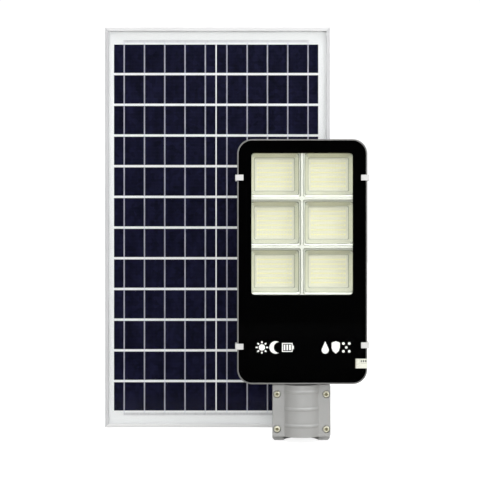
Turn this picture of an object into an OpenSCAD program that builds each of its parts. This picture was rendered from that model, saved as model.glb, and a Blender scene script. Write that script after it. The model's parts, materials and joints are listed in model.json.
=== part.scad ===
// Solar street lamp set: a framed solar panel on a tilting rear yoke,
// and a lamp head that stands in front of it.
// Millimetres, +Z up, fronts towards -Y, both units stand on z = 0.

/* [Panel] */
// Outer width of the panel frame
panel_w = 350; // [300:1:420]
// Outer height of the panel frame
panel_h = 622.2; // [500:0.1:700]
// Depth of the frame rails
panel_d = 25; // [17:0.5:35]
// Width of the rail's front lip
lip_w = 5.5; // [4:0.5:10]
// How far the lip falls back towards its outer edge
lip_fall = 1.2; // [0:0.1:3]
// Wall thickness of the rails
rail_t = 1.5; // [1.2:0.1:2.5]
// Width of the rail's rear flange
flange_w = 22; // [15:1:30]
// Thickness of the front glass
panel_glass_t = 3.2; // [2:0.1:4]

/* [Cells] */
// Width of one cell
cell_w = 158.3; // [100:0.1:165]
// Height of one cell strip
cell_h = 44.2; // [20:0.1:80]
// Height from one cell strip to the next
cell_pitch = 47.9; // [25:0.1:85]
// Gap between the two cell columns
column_gap = 2; // [2:0.1:6]
// Busbar ribbons on each cell
ribbons_per_cell = 5; // [3:1:9]

/* [Rear yoke] */
// Height of the hinge line above the floor
pivot_z = 310; // [200:5:400]
// Distance of the hinge line behind the panel front
pivot_y = 43; // [40:1:60]
// Width of the yoke arms
arm_w = 26; // [20:1:40]
// Thickness of the yoke steel
yoke_t = 3; // [2:0.5:5]
// Front-to-back size of the yoke base
base_d = 50; // [40:1:80]
// Spacing of the yoke's mounting holes across
base_pitch_x = 160; // [100:5:220]
// Spacing of the yoke's mounting holes front to back
base_pitch_y = 25; // [20:1:50]

/* [Lamp head] */
// Outer width of the lamp head
head_w = 186.2; // [150:0.1:260]
// Outer height of the lamp head without its sleeve
head_h = 350.7; // [280:0.1:480]
// Height of the head's lower edge above the floor
head_z = 85.3; // [60:0.1:120]
// Depth of the lamp head, fins included
head_d = 66; // [50:1:90]
// Outer corner radius of the lamp head
head_r = 21; // [10:1:40]
// Sideways distance from panel centre to lamp centre
lamp_dx = 124.2; // [100:0.1:200]
// Distance from panel front to lamp glass
lamp_dy = 151.75; // [120:0.25:250]
// Width of the clear window in the black print
window_w = 145.3; // [120:0.1:180]
// Height of the clear window in the black print
window_h = 203.3; // [150:0.1:260]
// Height of the window's centre above the floor
window_z = 314.7; // [250:0.1:350]

/* [Light modules] */
// Module pitch across
module_pitch_x = 78.2; // [60:0.1:100]
// Module pitch up
module_pitch_z = 69.9; // [50:0.1:100]
// Chips across one board
chips_x = 12; // [6:1:16]
// Chip rows on one board
chip_rows = 6; // [3:1:8]

/* [Pole sleeve] */
// Bore radius of the sleeve
sleeve_r = 25.1; // [20:0.1:35]
// Wall thickness of the sleeve
sleeve_t = 3.9; // [3:0.1:6]
// Width across the sleeve flanges
sleeve_w = 83.6; // [70:0.1:110]
// Thickness of the cap's flat block on each side of its barrel
cap_block_t = 15; // [8:0.5:20]
// Spacing of the clamp bolts up
clamp_pitch_z = 50.5; // [40:0.5:70]

/* [Hidden] */
$fn = 64;
eps = 0.05;
// sideways and front-to-back offsets that put the whole set over the origin
clip_out = 2.7;
clip_t = 1.6;
panel_x = (panel_w / 2 - lamp_dx - head_w / 2 - clip_out) / 2;
panel_y = (lamp_dy + clip_t - pivot_y - base_d) / 2;
lamp_x = panel_x + lamp_dx;
lamp_y = panel_y - lamp_dy;

// panel stack, depths behind the front of the lip
lip_flat = 1.2;
lip_back = lip_fall + 1.3;
lam_front = lip_back + 0.2;
glass_back = lam_front + panel_glass_t;
ribbon_t = 0.2;
cell_t = 0.2;
cell_front = glass_back + ribbon_t;
cell_back = cell_front + cell_t;
sheet_t = 0.65;
lam_back = cell_back + sheet_t;
lam_in = 2.2;
ledge_front = lam_back + 0.15;
ledge_u = 10;
seal_u = 5;
key_leg = 34;
key_wall = 0.15;
cells_per_column = 12;
ribbon_w = 2;
bus_w = 4;
cells_mid_z = 311.1;
cells_x = -2.2;
bus_gap = 3.3;
cell_block_h = (cells_per_column - 1) * cell_pitch + cell_h;
cells_bottom = cells_mid_z - cell_block_h / 2;
cells_top = cells_bottom + cell_block_h;
ribbon_pitch = cell_w / ribbons_per_cell;
bus_span = 2 * cell_w + column_gap - ribbon_pitch + ribbon_w;

// junction box
box_w = 96;
box_h = 62;
box_d = 17;
box_wall = 2.2;
box_z = 556;
lid_t = 2.4;
gland_r = 7.5;
gland_nut_r = 9;
cable_r = 3.05;
gland_len = 15;
gland_y = lam_back + 9.2;

// ears, bolts, yoke
m6_r = 3;
m8_r = 4;
fit_gap = 0.2;
run_gap = 0.05;
ear_w = 20;
ear_h = 54;
ear_x = panel_w / 2 - flange_w;
ear_bolt_dz = 21;
ear_bolt_x = panel_w / 2 - 15.5;
rail_hole_r = 3.5;
rail_hole_dz = 200;
arm_x1 = ear_x - fit_gap;
arm_x0 = arm_x1 - yoke_t;
lug_w = 26;
lug_y0 = pivot_y + 3;
lug_y1 = pivot_y + base_d - 3;
lug_bolt_x = arm_x0 - lug_w / 2;
base_y_mid = pivot_y + base_d / 2;
nut_h = 5;
head_r6 = 5.75;
head_r8 = 7.5;

// lamp head depths behind the front of the rim
rim_w = 1.6;
glass_front = 0.5;
lamp_glass_t = 4;
print_t = 0.1;
glass_rear = glass_front + lamp_glass_t;
print_rear = glass_rear + print_t;
gasket_t = 2;
gasket_w = 8;
seat_y = print_rear + gasket_t;
plate_y = 29;
plate_t = 4;
pack_y = 54;
shell_t = 3;
body_in = 4;
split_z = 206;
fin_t = 2.4;
fin_pitch = 14;
fin_count = 13;
fin_back = head_d;
head_top = head_z + head_h;
tube_y = 33;
sleeve_out = sleeve_r + sleeve_t;
flange_t = 8;
split_gap = 0.5;
cap_z0 = 7.5;
cap_z1 = head_z - 2.8;
cap_front = tube_y - split_gap - cap_block_t;
clamp_x = 35.6;
clamp_z = 43.3;
clamp_head_r = 4.6;
clamp_head_h = 6;
clamp_recess_r = 5.6;
clamp_recess = 6.4;
clamp_grip = 12;
clamp_end_gap = 1;
boss_r = 6;
rib_z = [23.6, 47.8, 72.6];
rib_r = 6;
rib_out = 0.8;
// hollow fillets between the cap's barrel and its flat blocks, sunk a little so that they cross both faces
cap_fillet = 8;
fillet_sink = 0.3;
fillet_y = cap_front - cap_fillet + fillet_sink;
fillet_x = sqrt(pow(sleeve_out + cap_fillet - fillet_sink, 2) - pow(tube_y - fillet_y, 2));
fillet_top = tube_y - sleeve_out * (tube_y - fillet_y) / (sleeve_out + cap_fillet);

// modules
floor_w = 56;
floor_h = 46;
mouth_w = 73;
mouth_h = 64.6;
tray_front = seat_y + 0.2;
board_t = 1.6;
board_front = plate_y - board_t;
tray_back = board_front - fit_gap;
tray_wall = 1.4;
module_z = 316.5;
chip_w = 3.5;
chip_h = 3;
chip_t = 0.8;
chip_pitch_x = 4.3;
chip_pitch_z = 6.7;

// battery, controller, button, inlet
cell_r = 16;
cell_len = 65;
battery_y = 30;
battery_z = 128;
battery_n = 5;
battery_pitch = 33;
holder_t = 3;
control_y = 36;
control_z = 109;
button_x = -52;
button_z = 109;
button_r = 7;
button_proud = 0.5;
bezel_r = 11;
bezel_t = 4;
bezel_bore = button_r + run_gap;
pack_back = pack_y + shell_t;
inlet_x = 52;
inlet_z = 109;
inlet_r = 8;
vent_x = 52;
vent_z = 175;
clip_z_left = [381, 139];
clip_z_right = [381, 141];
clip_h = 8.2;
clip_over = 11.6;
clip_leg = 24;
clip_screw_y = 17;
clip_hole_r = 1.7;
seal_w = 17.2;
seal_h = 13.7;
seal_z = 108;
seal_t = 0.15;

alu = [0.82, 0.83, 0.84];
steel = [0.7, 0.7, 0.72];
zinc = [0.78, 0.76, 0.6];
white = [0.95, 0.95, 0.95];
black = [0.04, 0.04, 0.05];
navy = [0.07, 0.08, 0.2];
clear = [0.8, 0.9, 0.9, 0.3];
grey = [0.66, 0.67, 0.67];
yellow = [0.93, 0.92, 0.68];
mirror_white = [0.88, 0.9, 0.84];

// ---------- shared shapes ----------
module at_panel() {
    translate([panel_x, panel_y, 0]) children();
}

module at_lamp() {
    translate([lamp_x, lamp_y, 0]) children();
}

// extrudes a drawing made in x and z from depth y0 back to depth y1
module slab(y0, y1) {
    translate([0, y1, 0])
        rotate([90, 0, 0])
            linear_extrude(height = y1 - y0)
                children();
}

// extrudes a drawing made in y and z across from x0 to x1
module cross(x0, x1) {
    translate([x0, 0, 0])
        rotate([90, 0, 90])
            linear_extrude(height = x1 - x0)
                children();
}

// rectangle with round corners, centred on x, from z0 to z1
module round_rect(w, z0, z1, r) {
    translate([-w / 2 + r, z0]) square([w - 2 * r, z1 - z0]);
    translate([-w / 2, z0 + r]) square([w, z1 - z0 - 2 * r]);
    for (sx = [-1, 1])
        for (z = [z0 + r, z1 - r])
            translate([sx * (w / 2 - r), z]) circle(r = r);
}

module plain_rect(w, z0, z1) {
    translate([-w / 2, z0]) square([w, z1 - z0]);
}

module both_sides() {
    children();
    mirror([1, 0, 0]) children();
}

// four-sided taper between a front rectangle at y0 and a rear one at y1, centred on z = 0
module taper(w0, h0, y0, w1, h1, y1) {
    intersection() {
        translate([0, 0, -h0])
            linear_extrude(height = 2 * h0)
                polygon([[-w0 / 2, y0], [w0 / 2, y0], [w1 / 2, y1], [-w1 / 2, y1]]);
        cross(-w0, w0)
            polygon([[y0, -h0 / 2], [y0, h0 / 2], [y1, h1 / 2], [y1, -h1 / 2]]);
    }
}

// hexagon bolt pieces along +X
module hex_x(r, h) {
    rotate([0, 90, 0]) cylinder(r = r, h = h, $fn = 6);
}

module rod_x(r, h) {
    rotate([0, 90, 0]) cylinder(r = r, h = h);
}

module rod_y(r, h) {
    rotate([-90, 0, 0]) cylinder(r = r, h = h);
}

// ---------- panel ----------
// rail section: u is inward from the outer face, v is depth
module rail_section() {
    difference() {
        union() {
            polygon([[0, lip_fall], [lip_w - lip_flat, 0], [lip_w, 0], [lip_w, panel_d], [0, panel_d]]);
            translate([0, ledge_front]) square([ledge_u, panel_d - ledge_front]);
            translate([0, panel_d - rail_t]) square([flange_w, rail_t]);
        }
        translate([rail_t, lip_back]) square([lip_w, ledge_front - lip_back]);
        translate([rail_t, ledge_front + rail_t])
            square([ledge_u - 2 * rail_t, panel_d - ledge_front - 2 * rail_t]);
    }
}

// rail along +Z at the left edge, length len, mitred at both ends
module rail(len) {
    intersection() {
        linear_extrude(height = len) rail_section();
        slab(-1, panel_d + 1)
            polygon([[0, 0], [flange_w + 1, flange_w + 1], [flange_w + 1, len - flange_w - 1], [0, len]]);
    }
}

module side_rail() {
    difference() {
        translate([-panel_w / 2, 0, 0]) rail(panel_h);
        for (s = [-1, 1])
            translate([-ear_bolt_x, panel_d - 2 * rail_t, pivot_z + s * ear_bolt_dz])
                rod_y(m6_r + fit_gap, 3 * rail_t);
        for (s = [-1, 1])
            translate([-ear_bolt_x, panel_d - 2 * rail_t, panel_h / 2 + s * rail_hole_dz])
                rod_y(rail_hole_r, 3 * rail_t);
    }
}

module frame_left() {
    color(alu) at_panel() side_rail();
}

module frame_right() {
    color(alu) at_panel() mirror([1, 0, 0]) side_rail();
}

module frame_bottom() {
    color(alu) at_panel()
        translate([panel_w / 2, 0, 0]) rotate([0, -90, 0]) rail(panel_w);
}

module frame_top() {
    color(alu) at_panel()
        translate([-panel_w / 2, 0, panel_h]) rotate([0, 90, 0]) rail(panel_w);
}

module corner_key() {
    y0 = ledge_front + rail_t + key_wall;
    y1 = panel_d - rail_t - key_wall;
    a = rail_t + key_wall;
    b = ledge_u - rail_t - key_wall;
    slab(y0, y1)
        polygon([[a, a], [key_leg, a], [key_leg, b], [b, b], [b, key_leg], [a, key_leg]]);
}

module corner_keys() {
    color(steel) at_panel()
        both_sides()
            translate([-panel_w / 2, 0, 0]) {
                corner_key();
                translate([0, 0, panel_h]) mirror([0, 0, 1]) corner_key();
            }
}

module edge_seal() {
    a = rail_t + 0.05;
    color(grey) at_panel() difference() {
        slab(lip_back + 0.05, ledge_front - 0.05) plain_rect(panel_w - 2 * a, a, panel_h - a);
        slab(0, lam_front) plain_rect(panel_w - 2 * seal_u, seal_u, panel_h - seal_u);
        slab(lam_front - eps, panel_d) plain_rect(panel_w - 2 * lam_in, lam_in, panel_h - lam_in);
    }
}

module laminate_layer(y0, y1) {
    at_panel() slab(y0, y1) plain_rect(panel_w - 2 * lam_in, lam_in, panel_h - lam_in);
}

module panel_glass() {
    color(clear) laminate_layer(lam_front, glass_back);
}

module solar_cells() {
    color(navy) at_panel()
        for (row = [0 : cells_per_column - 1])
            for (s = [-1, 1])
                translate([cells_x + s * (cell_w + column_gap) / 2, 0, cells_bottom + row * cell_pitch])
                    slab(cell_front, cell_back) plain_rect(cell_w, 0, cell_h);
}

module cell_ribbons() {
    color(steel) at_panel()
        for (s = [-1, 1])
            translate([cells_x + s * (cell_w + column_gap) / 2, 0, 0])
                for (i = [0 : ribbons_per_cell - 1])
                    translate([(i - (ribbons_per_cell - 1) / 2) * ribbon_pitch, 0, 0])
                        slab(glass_back, cell_front)
                            plain_rect(ribbon_w, cells_bottom - bus_gap + eps, cells_top + bus_gap - eps);
}

module bus_ribbons() {
    color(steel) at_panel()
        for (z = [cells_bottom - bus_gap - bus_w, cells_top + bus_gap])
            translate([cells_x, 0, 0]) slab(glass_back, cell_front) plain_rect(bus_span, z, z + bus_w);
}

module backsheet() {
    color(white) laminate_layer(cell_back, lam_back);
}

// ---------- junction box ----------
module junction_box() {
    color(black) at_panel() difference() {
        slab(lam_back, lam_back + box_d) plain_rect(box_w, box_z - box_h / 2, box_z + box_h / 2);
        slab(lam_back + box_wall, lam_back + box_d + 1)
            plain_rect(box_w - 2 * box_wall, box_z - box_h / 2 + box_wall, box_z + box_h / 2 - box_wall);
        translate([0, gland_y, box_z - box_h / 2 - 1])
            cylinder(r = gland_r - 1.5 + fit_gap, h = box_wall + 2);
    }
}

module junction_lid() {
    y0 = lam_back + box_d;
    low = box_z - box_h / 2;
    high = box_z + box_h / 2;
    inset = box_wall + 0.2;
    color(black) at_panel() difference() {
        union() {
            slab(y0, y0 + lid_t) round_rect(box_w, low, high, 3);
            slab(y0 - 1.5, y0 + eps) plain_rect(box_w - 2 * inset, low + inset, high - inset);
        }
        slab(y0 - 2, y0)
            plain_rect(box_w - 4 * box_wall, low + 2 * box_wall, high - 2 * box_wall);
        for (s = [-1, 1])
            translate([s * (box_w / 2 - 8), y0 + lid_t - 0.8, low + 8]) rod_y(2.2, 1);
    }
}

module junction_terminals() {
    y0 = lam_back + box_wall;
    color(steel) at_panel() {
        for (s = [-1, 1])
            translate([s * 20, 0, 0]) {
                slab(y0, y0 + 7) plain_rect(12, box_z - 12, box_z + 12);
                translate([0, y0 + 7 - eps, box_z - 6]) rod_y(2.6, 2);
            }
        slab(y0, y0 + 2) plain_rect(30, box_z + 15, box_z + 20);
    }
}

module gland_body() {
    z0 = box_z - box_h / 2;
    color(black) at_panel() translate([0, gland_y, 0]) difference() {
        union() {
            translate([0, 0, z0 - gland_len]) cylinder(r = gland_r - 1.5, h = gland_len + box_wall + 2);
            translate([0, 0, z0 - 4]) cylinder(r = gland_nut_r, h = 4, $fn = 6);
        }
        translate([0, 0, z0 - gland_len - 1]) cylinder(r = cable_r, h = gland_len + 10);
    }
}

module gland_nut() {
    z0 = box_z - box_h / 2;
    color(black) at_panel() translate([0, gland_y, z0 - gland_len - 3]) difference() {
        cylinder(r = gland_nut_r - 0.4, h = gland_len - 2);
        translate([0, 0, 3]) cylinder(r = gland_r - 1.5 + 0.1, h = gland_len);
        translate([0, 0, -1]) cylinder(r = cable_r, h = 6);
    }
}

// ---------- pivot ears and yoke ----------
module ear() {
    difference() {
        union() {
            translate([-panel_w / 2 + 2, panel_d, pivot_z - ear_h / 2]) cube([ear_w, yoke_t, ear_h]);
            cross(-ear_x - yoke_t, -ear_x) {
                translate([panel_d, pivot_z - 15]) square([pivot_y - panel_d, 30]);
                translate([pivot_y, pivot_z]) circle(r = 15);
            }
        }
        translate([-ear_x - 2 * yoke_t, pivot_y, pivot_z]) rod_x(m8_r + fit_gap, 3 * yoke_t);
        for (s = [-1, 1])
            translate([-ear_bolt_x, panel_d - 1, pivot_z + s * ear_bolt_dz])
                rod_y(m6_r + fit_gap, yoke_t + 2);
    }
}

module ear_left() {
    color(steel) at_panel() ear();
}

module ear_right() {
    color(steel) at_panel() mirror([1, 0, 0]) ear();
}

// flanged studs pressed into the rail, nuts behind the ears
module ear_bolts() {
    color(zinc) at_panel()
        both_sides()
            for (s = [-1, 1])
                translate([-ear_bolt_x, panel_d - rail_t - 2, pivot_z + s * ear_bolt_dz]) {
                    rotate([-90, 0, 0]) cylinder(r = 4.2, h = 2);
                    rod_y(m6_r, rail_t + yoke_t + 10);
                    translate([0, 2 + rail_t + yoke_t, 0])
                        rotate([-90, 0, 0]) cylinder(r = head_r6, h = nut_h, $fn = 6);
                }
}

module pivot_bolts() {
    color(zinc) at_panel()
        both_sides()
            translate([0, pivot_y, pivot_z]) {
                translate([-arm_x0 + fit_gap, 0, 0]) hex_x(head_r8, 5.3);
                translate([-arm_x0 - 22, 0, 0]) rod_x(m8_r, 22 + fit_gap + eps);
            }
}

module pivot_nuts() {
    color(zinc) at_panel()
        both_sides()
            translate([-ear_x - yoke_t - 6.8, pivot_y, pivot_z]) difference() {
                hex_x(head_r8, 6.8);
                translate([-1, 0, 0]) rod_x(m8_r + 0.1, 9);
            }
}

module yoke_arm() {
    difference() {
        union() {
            cross(-arm_x1, -arm_x0) {
                polygon([[pivot_y - arm_w / 2, 40], [pivot_y, yoke_t], [pivot_y + base_d, yoke_t],
                    [pivot_y + base_d, 12], [pivot_y + arm_w / 2, 70], [pivot_y + arm_w / 2, pivot_z],
                    [pivot_y - arm_w / 2, pivot_z]]);
                translate([pivot_y, pivot_z]) circle(r = arm_w / 2);
            }
            translate([-arm_x0 - eps, lug_y0, yoke_t]) cube([lug_w, lug_y1 - lug_y0, yoke_t]);
        }
        translate([-arm_x1 - 1, pivot_y, pivot_z]) rod_x(m8_r + run_gap, yoke_t + 2);
        for (s = [-1, 1])
            translate([-lug_bolt_x, base_y_mid + s * base_pitch_y / 2, 0])
                cylinder(r = m6_r + fit_gap, h = 20);
    }
}

module yoke_arm_left() {
    color(steel) at_panel() yoke_arm();
}

module yoke_arm_right() {
    color(steel) at_panel() mirror([1, 0, 0]) yoke_arm();
}

module yoke_base() {
    color(steel) at_panel() difference() {
        translate([-arm_x1, pivot_y, 0]) cube([2 * arm_x1, base_d, yoke_t]);
        for (s = [-1, 1])
            for (x = [-1, 1])
                translate([0, base_y_mid + s * base_pitch_y / 2, -1]) {
                    translate([x * base_pitch_x / 2, 0, 0]) cylinder(r = 4.5, h = 2 * yoke_t);
                    translate([x * lug_bolt_x, 0, 0]) cylinder(r = m6_r + fit_gap, h = 2 * yoke_t);
                }
    }
}

// clinch studs flush with the underside, nuts on top
module yoke_bolts() {
    color(zinc) at_panel()
        for (s = [-1, 1])
            for (x = [-1, 1])
                translate([x * lug_bolt_x, base_y_mid + s * base_pitch_y / 2, 0]) {
                    cylinder(r = m6_r, h = 14);
                    translate([0, 0, 2 * yoke_t]) cylinder(r = head_r6, h = nut_h, $fn = 6);
                }
}

// ---------- lamp housing ----------
module housing_solid() {
    slab(0, 9) round_rect(head_w, head_z, head_top, head_r);
    slab(8, plate_y + plate_t)
        round_rect(head_w - 2 * body_in, head_z + body_in, head_top - body_in, head_r - body_in);
    slab(plate_y, pack_back)
        round_rect(head_w - 2 * body_in - 4, head_z + body_in, split_z + 2 * shell_t, 14);
    for (i = [-2 : 2])
        translate([i * fin_pitch - fin_t / 2, pack_back - 1, head_z + 14]) cube([fin_t, 4, 20]);
    rear_sleeve();
}

// fins stand on the back of the light module plate, above the battery box
module cooling_fins() {
    z0 = split_z + 2 * shell_t + fit_gap;
    y0 = plate_y + plate_t;
    color(grey) at_lamp()
        for (i = [0 : fin_count - 1])
            translate([(i - (fin_count - 1) / 2) * fin_pitch, 0, 0])
                cross(-fin_t / 2, fin_t / 2)
                    polygon([
                        [y0, z0],
                        [fin_back, z0],
                        [fin_back, fin_top(i) - 18],
                        [y0 + 6, fin_top(i)],
                        [y0, fin_top(i)]
                    ]);
}

function fin_top(i) = head_top - body_in - 5 - (abs(i - (fin_count - 1) / 2) > 5 ? 8 : 0);

module rear_sleeve() {
    translate([0, tube_y, 0])
        intersection() {
            cylinder(r = sleeve_out, h = head_z + 6);
            translate([-sleeve_out, 0, 0]) cube([2 * sleeve_out, sleeve_out, head_z + 6]);
        }
    difference() {
        translate([-sleeve_w / 2, tube_y, 0]) cube([sleeve_w, flange_t, head_z + 6]);
        for (s = [-1, 1])
            translate([s * sleeve_w / 2, tube_y - 1, 0])
                rotate([0, s * 45, 0]) cube([4, 3 * flange_t, 4], center = true);
    }
    at_clamp_bolts(tube_y) rod_y(boss_r, flange_t + 6);
}

module lamp_housing() {
    in_w = head_w - 2 * body_in - 2 * shell_t;
    color(grey) at_lamp() difference() {
        housing_solid();
        slab(-1, seat_y) round_rect(head_w - 2 * rim_w, head_z + rim_w, head_top - rim_w, head_r - rim_w);
        slab(0, plate_y)
            round_rect(in_w, split_z + shell_t, head_top - body_in - shell_t, head_r - body_in - shell_t);
        slab(0, pack_y) round_rect(in_w - 4, head_z + body_in + shell_t, split_z, 11);
        translate([0, tube_y, -1]) cylinder(r = sleeve_r, h = head_z - 1);
        translate([0, tube_y, head_z - 10]) cylinder(r = 9, h = 20);
        at_clamp_bolts(tube_y - 1) rod_y(m6_r + run_gap, clamp_grip + 1);
        translate([button_x, pack_y - 1, button_z]) rod_y(8 + fit_gap, 10);
        translate([inlet_x, pack_y - 1, inlet_z]) rod_y(inlet_r - 2 + fit_gap, 10);
        translate([vent_x, pack_y - 1, vent_z]) rod_y(4 + fit_gap, 10);
        for (s = [-1, 1])
            for (z = clip_z(s))
                translate([s * head_w / 2, clip_screw_y, z])
                    rotate([0, 90, 0]) cylinder(r = clip_hole_r, h = 20, center = true);
    }
}

module glass_gasket() {
    w = head_w - 2 * rim_w - 0.6;
    color(black) at_lamp() difference() {
        glass_plate(print_rear, seat_y);
        slab(0, seat_y + 1)
            round_rect(
                w - gasket_w,
                head_z + rim_w + gasket_w / 2,
                head_top - rim_w - gasket_w / 2,
                head_r - 2 * rim_w
            );
    }
}

module glass_plate(y0, y1) {
    w = head_w - 2 * rim_w - 0.6;
    slab(y0, y1) round_rect(w, head_z + rim_w + 0.3, head_top - rim_w - 0.3, head_r - rim_w - 0.3);
}

module lamp_glass() {
    color(clear) at_lamp() glass_plate(glass_front, glass_rear);
}

module glass_print() {
    color(black) at_lamp() difference() {
        glass_plate(glass_rear, print_rear);
        slab(0, seat_y) round_rect(window_w, window_z - window_h / 2, window_z + window_h / 2, 4.7);
    }
}

// ---------- light modules ----------
// modules are numbered from the top left, row by row
module at_module(n) {
    col = (n - 1) % 2;
    row = floor((n - 1) / 2);
    translate([(col - 0.5) * module_pitch_x, 0, module_z + (1 - row) * module_pitch_z]) children();
}

module tray(n) {
    w = module_pitch_x - 0.4;
    h = module_pitch_z - 0.4;
    mid_a = tray_front + 4;
    mid_b = tray_front + 5.5;
    color(mirror_white) at_lamp() at_module(n) difference() {
        union() {
            slab(tray_front, tray_front + 1.6) plain_rect(w, -h / 2, h / 2);
            taper(mouth_w + 2 * tray_wall, mouth_h + 2 * tray_wall, tray_front,
                floor_w + 2 * tray_wall, floor_h + 2 * tray_wall, tray_back);
        }
        taper(mouth_w, mouth_h, tray_front - eps, mouth_w - 4, mouth_h - 4, mid_a);
        slab(mid_a - 1, mid_b) plain_rect(mouth_w - 6, -(mouth_h - 6) / 2, (mouth_h - 6) / 2);
        taper(mouth_w - 6.5, mouth_h - 6.5, mid_b - eps, floor_w, floor_h, tray_back + eps);
    }
}

module reflector_1() { tray(1); }
module reflector_2() { tray(2); }
module reflector_3() { tray(3); }
module reflector_4() { tray(4); }
module reflector_5() { tray(5); }
module reflector_6() { tray(6); }

module board(n) {
    color(white) at_lamp() at_module(n)
        slab(board_front, plate_y) plain_rect(floor_w + 8, -floor_h / 2 - 4, floor_h / 2 + 4);
}

module led_board_1() { board(1); }
module led_board_2() { board(2); }
module led_board_3() { board(3); }
module led_board_4() { board(4); }
module led_board_5() { board(5); }
module led_board_6() { board(6); }

module led_chips() {
    color(yellow) at_lamp()
        for (n = [1 : 6])
            at_module(n)
                for (i = [0 : chips_x - 1])
                    for (j = [0 : chip_rows - 1])
                        translate([
                            (i - (chips_x - 1) / 2) * chip_pitch_x - chip_w / 2,
                            board_front - chip_t,
                            (j - (chip_rows - 1) / 2) * chip_pitch_z - chip_h / 2
                        ])
                            cube([chip_w, chip_t, chip_h]);
}

// ---------- glass clips ----------
function clip_z(side) = side < 0 ? clip_z_left : clip_z_right;

// front leaf over the glass, leg down the outside of the rim to a side screw
module clip(side, z) {
    color(white) at_lamp() mirror([side < 0 ? 1 : 0, 0, 0]) translate([0, 0, z - clip_h / 2]) difference() {
        union() {
            translate([head_w / 2 - clip_over + clip_out, -clip_t, 0]) cube([clip_over, clip_t, clip_h]);
            translate([head_w / 2 + fit_gap, -clip_t, 0]) cube([clip_out - fit_gap, clip_leg, clip_h]);
        }
        translate([head_w / 2 - 1, clip_screw_y, clip_h / 2]) rod_x(clip_hole_r, 10);
    }
}

module glass_clip_1() { clip(-1, clip_z_left[0]); }
module glass_clip_2() { clip(1, clip_z_right[0]); }
module glass_clip_3() { clip(-1, clip_z_left[1]); }
module glass_clip_4() { clip(1, clip_z_right[1]); }

module clip_screws() {
    color(zinc) at_lamp()
        for (s = [-1, 1])
            for (z = clip_z(s))
                mirror([s > 0 ? 1 : 0, 0, 0]) translate([-head_w / 2 - clip_out, clip_screw_y, z]) {
                    rod_x(1.5, clip_out + 9);
                    difference() {
                        rod_x(1.6, 1);
                        translate([-1, 0, 0]) hex_x(0.8, 1.6);
                    }
                }
}

// ---------- battery and controller ----------
module battery_cells() {
    color([0.1, 0.35, 0.6]) at_lamp()
        for (i = [0 : battery_n - 1])
            translate([(i - (battery_n - 1) / 2) * battery_pitch, battery_y, battery_z]) {
                cylinder(r = cell_r, h = cell_len);
                translate([0, 0, cell_len - eps]) cylinder(r = 4, h = 1.5);
            }
}

module battery_holder() {
    w = battery_n * battery_pitch + 3;
    color(black) at_lamp() difference() {
        union()
            for (z = [battery_z - holder_t, battery_z + cell_len - 6])
                translate([-w / 2, battery_y - 18, z]) cube([w, 36, holder_t + 6]);
        for (i = [0 : battery_n - 1])
            translate([(i - (battery_n - 1) / 2) * battery_pitch, battery_y, battery_z]) {
                cylinder(r = cell_r + fit_gap, h = cell_len);
                translate([0, 0, -1]) cylinder(r = 5, h = cell_len + 4);
            }
    }
}

module controller_board() {
    color([0.05, 0.3, 0.15]) at_lamp() {
        slab(control_y, control_y + board_t) plain_rect(140, control_z - 13, control_z + 13);
        for (x = [-55, -38, 40])
            translate([x, control_y + eps, control_z]) rotate([90, 0, 0]) cylinder(r = 5, h = 12);
        translate([-12, 0, control_z])
            slab(control_y - 5, control_y + eps) plain_rect(16, -8, 7);
        translate([18, 0, control_z])
            slab(control_y - 8, control_y + eps) plain_rect(18, -9, 9);
    }
}

// ---------- button, inlet, vent, seal ----------
module button_bezel() {
    color(black) at_lamp() translate([button_x, 0, button_z]) difference() {
        union() {
            translate([0, pack_back, 0]) rod_y(bezel_r, bezel_t);
            translate([0, pack_y - 10, 0]) rod_y(8, pack_back - pack_y + 10.5);
            translate([0, pack_y - 5, 0]) rotate([-90, 0, 0]) cylinder(r = 10.5, h = 4.6, $fn = 6);
        }
        translate([0, pack_y - 8, 0]) rod_y(bezel_bore, 20);
    }
}

module button_spring() {
    color(steel) at_lamp() translate([button_x, pack_y - 7.9, button_z])
        for (y = [0, 2.2, 4.4])
            translate([0, y, 0]) difference() {
                rod_y(5, 0.9);
                translate([0, -1, 0]) rod_y(4, 4);
            }
}

module power_button() {
    color([0.7, 0.1, 0.1]) at_lamp() translate([button_x, 0, button_z])
        translate([0, pack_y - 2.5, 0]) rod_y(button_r, shell_t + bezel_t + 2.5 + button_proud);
}

module inlet_socket() {
    color(black) at_lamp() translate([inlet_x, 0, inlet_z]) difference() {
        union() {
            translate([0, pack_back, 0]) rod_y(inlet_r + 2, 2.5);
            translate([0, pack_y - 5.5, 0]) rod_y(inlet_r - 2, 6 + shell_t + 5);
            translate([0, pack_back + 2, 0]) rod_y(inlet_r, head_d - pack_back - 3);
        }
        translate([0, pack_back - 1, 0]) rod_y(4, 12);
    }
}

module inlet_nut() {
    color(black) at_lamp() translate([inlet_x, pack_y - 5, inlet_z]) difference() {
        rotate([-90, 0, 0]) cylinder(r = inlet_r + 2, h = 4.8, $fn = 6);
        translate([0, -1, 0]) rod_y(inlet_r - 2 + 0.1, 8);
    }
}

module breather_valve() {
    color(black) at_lamp() translate([vent_x, 0, vent_z]) {
        translate([0, pack_y - 2, 0]) rod_y(4, shell_t + 3);
        translate([0, pack_back, 0]) rotate([-90, 0, 0]) cylinder(r = 7, h = 3.4, $fn = 6);
    }
}

module seal_label() {
    color([0.85, 0.84, 0.78]) at_lamp() {
        translate([head_w / 2 - seal_w, -seal_t, seal_z]) cube([seal_w + seal_t, seal_t, seal_h]);
        translate([head_w / 2, -seal_t, seal_z]) cube([seal_t, 8, seal_h]);
    }
}

// ---------- sleeve cap ----------
module at_clamp_bolts(y) {
    for (s = [-1, 1])
        for (t = [-1, 1])
            translate([s * clamp_x, y, clamp_z + t * clamp_pitch_z / 2]) children();
}

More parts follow.
